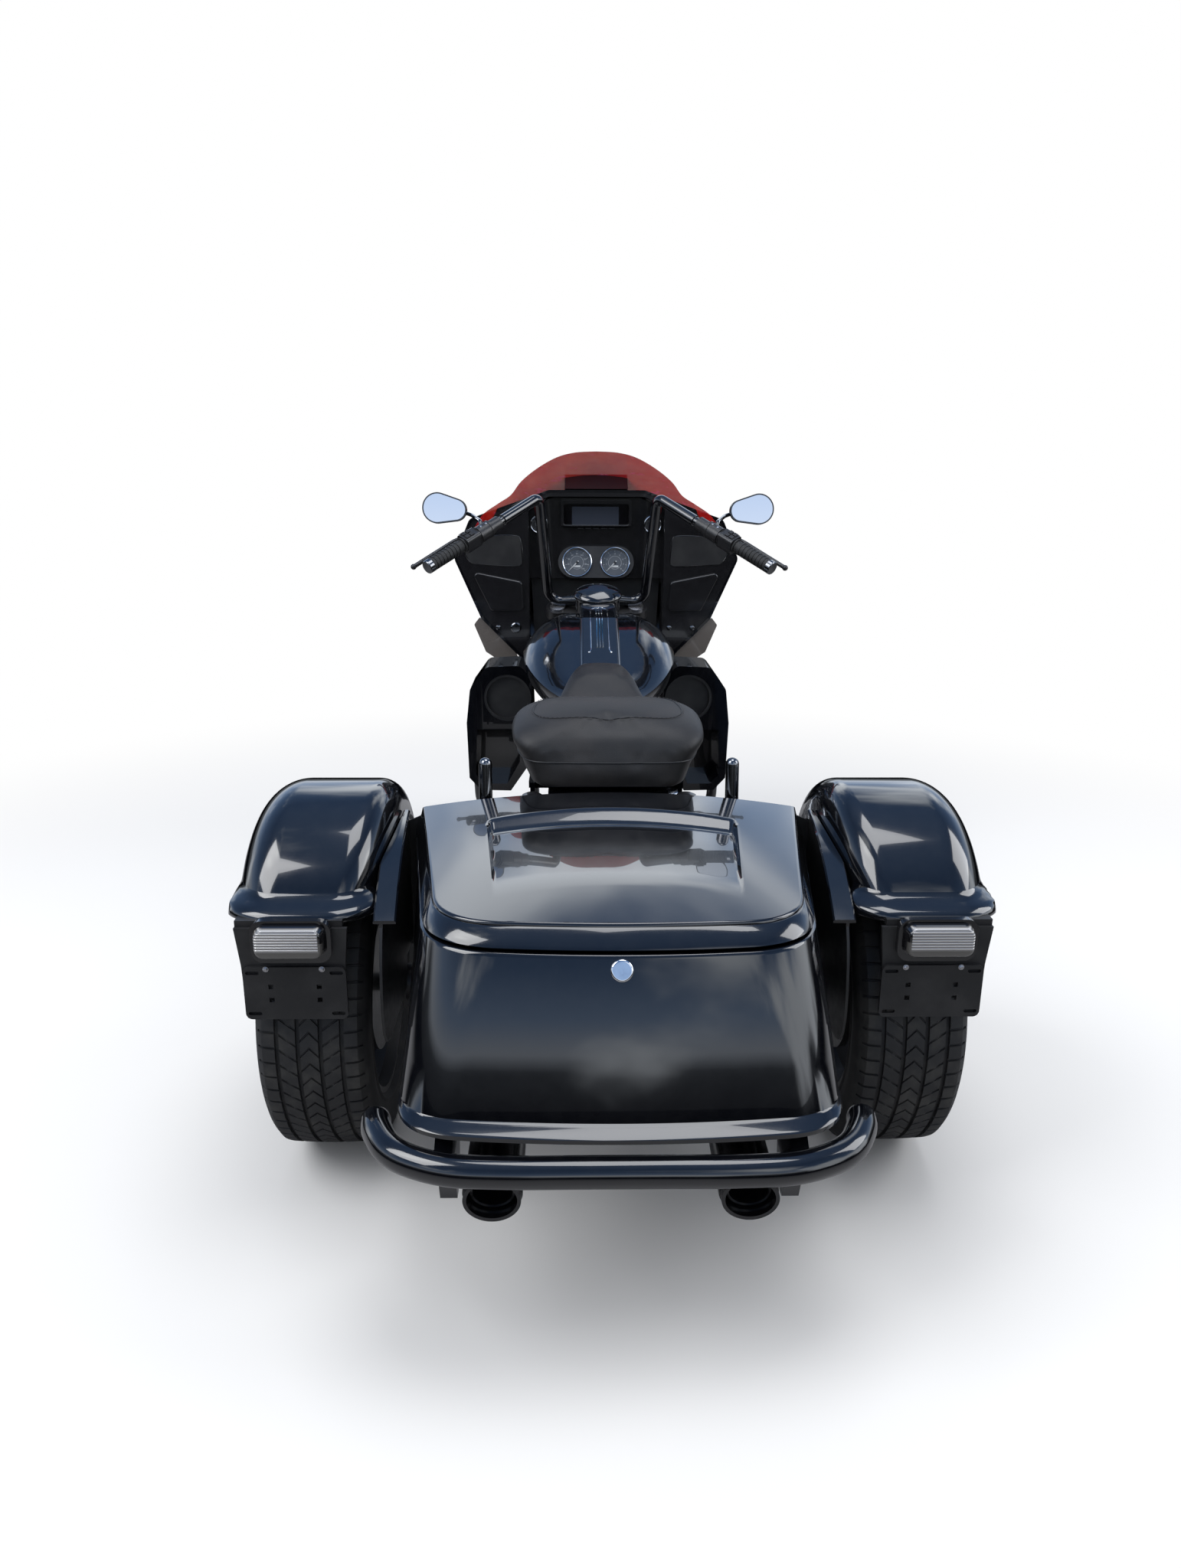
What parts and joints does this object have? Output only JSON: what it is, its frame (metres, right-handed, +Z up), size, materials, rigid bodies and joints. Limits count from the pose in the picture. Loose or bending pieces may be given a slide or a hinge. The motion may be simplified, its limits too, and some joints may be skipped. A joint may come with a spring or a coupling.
{
  "type": "motorized trike",
  "caption": "Full-dress touring trike with a rear trunk between two wide fenders, a stepped seat, a fork-mounted front wheel and a wide fairing with a tinted windshield.",
  "frame": {"origin": "on the ground at the bottom centre of the bounding box", "axes": "+X points to the rider's right, +Y forward, +Z up"},
  "size_m": [1.4, 2.72, 1.416],
  "materials": {
    "gloss_black": "deep gloss black paint",
    "satin_black": "satin black coated metal",
    "engine_black": "wrinkle black engine castings",
    "black_plastic": "fine grained black plastic",
    "black_gloss_plastic": "smooth black plastic",
    "chrome": "polished chrome",
    "polished_alloy": "machined and brushed alloy",
    "steel": "ground steel",
    "tyre": "new tyre rubber",
    "rubber": "ribbed black rubber",
    "vinyl": "grained black seat vinyl",
    "lens_clear": "clear ribbed lens over red",
    "headlamp_glass": "clear lens over a reflector",
    "screen_red": "red tinted clear plastic",
    "smoked": "smoked clear plastic",
    "dials": "black dials under glass in bright rings",
    "display": "dull blue-grey display in a black hood",
    "mirror": "mirror glass"
  },
  "bodies": {
    "chassis": {"trunk_body": "gloss_black", "trunk_lock": "chrome", "side_decks": "gloss_black", "rear_fenders": "gloss_black", "plate_brackets": "black_plastic", "tail_lamps": "lens_clear", "rear_bumper": "gloss_black", "mufflers": "satin_black", "exhaust_pipes": "chrome", "frame": "satin_black", "rear_axle": "satin_black", "rear_shocks": "satin_black", "belt_drive": "rubber", "crankcase": "engine_black", "gearbox": "engine_black", "cam_cover": "engine_black", "cylinders": "engine_black", "rocker_covers": "engine_black", "primary_cover": "engine_black", "air_cleaner": "gloss_black", "engine_guard": "gloss_black", "foot_controls": "rubber", "lower_fairings": "gloss_black", "speaker_grilles": "black_plastic", "fuel_tank": "gloss_black", "console": "satin_black", "seat": "vinyl", "side_covers": "gloss_black", "side_posts": "satin_black", "fairing_shell": "gloss_black", "headlamp_bezel": "black_gloss_plastic", "headlamps": "headlamp_glass", "inner_fairing": "black_plastic", "gauge_pod": "black_plastic", "gauges": "dials", "screen_unit": "display", "windshield": "screen_red", "air_deflectors": "smoked"},
    "steering": {"fork_legs": "polished_alloy", "fork_clamps": "satin_black", "front_fender": "gloss_black", "brake_calipers": "satin_black", "handlebar": "gloss_black", "grips": "rubber", "hand_controls": "satin_black", "mirrors": "gloss_black", "mirror_glass": "mirror"},
    "front_wheel": {"front_wheel": "satin_black", "front_tyre": "tyre", "brake_discs": "steel"},
    "rear_wheel_left": {"rear_wheel_left": "satin_black", "rear_tyre_left": "tyre"},
    "rear_wheel_right": {"rear_wheel_right": "satin_black", "rear_tyre_right": "tyre"},
    "trunk_lid": {"trunk_lid": "gloss_black"},
    "fuel_door": {"fuel_door": "gloss_black"},
    "glove_door_left": {"glove_door_left": "black_plastic"},
    "glove_door_right": {"glove_door_right": "black_plastic"}
  },
  "joints": [
    {"name": "steering", "type": "hinge", "parent": "chassis", "child": "steering", "pos_m": [0, 0.7264, 0.85], "axis": [0, -0.4384, 0.8988], "range_deg": [-32, 32]},
    {"name": "front_wheel_spin", "type": "hinge", "parent": "steering", "child": "front_wheel", "pos_m": [0, 1.041, 0.319], "axis": [1, 0, 0], "continuous": true},
    {"name": "rear_wheel_spin_left", "type": "hinge", "parent": "chassis", "child": "rear_wheel_left", "pos_m": [-0.562, -0.629, 0.325], "axis": [1, 0, 0], "continuous": true},
    {"name": "rear_wheel_spin_right", "type": "hinge", "parent": "chassis", "child": "rear_wheel_right", "pos_m": [0.562, -0.629, 0.325], "axis": [1, 0, 0], "continuous": true},
    {"name": "trunk_lid_hinge", "type": "hinge", "parent": "chassis", "child": "trunk_lid", "pos_m": [0, -0.602, 0.738], "axis": [-1, 0, 0], "range_deg": [0, 50]},
    {"name": "fuel_door_hinge", "type": "hinge", "parent": "chassis", "child": "fuel_door", "pos_m": [0, 0.607, 1.02], "axis": [-1, 0, 0], "range_deg": [0, 80]},
    {"name": "glove_door_hinge_left", "type": "hinge", "parent": "chassis", "child": "glove_door_left", "pos_m": [-0.283, 0.7605, 0.924], "axis": [1, 0, 0], "range_deg": [0, 60]},
    {"name": "glove_door_hinge_right", "type": "hinge", "parent": "chassis", "child": "glove_door_right", "pos_m": [0.283, 0.7605, 0.924], "axis": [1, 0, 0], "range_deg": [0, 60]}
  ]
}
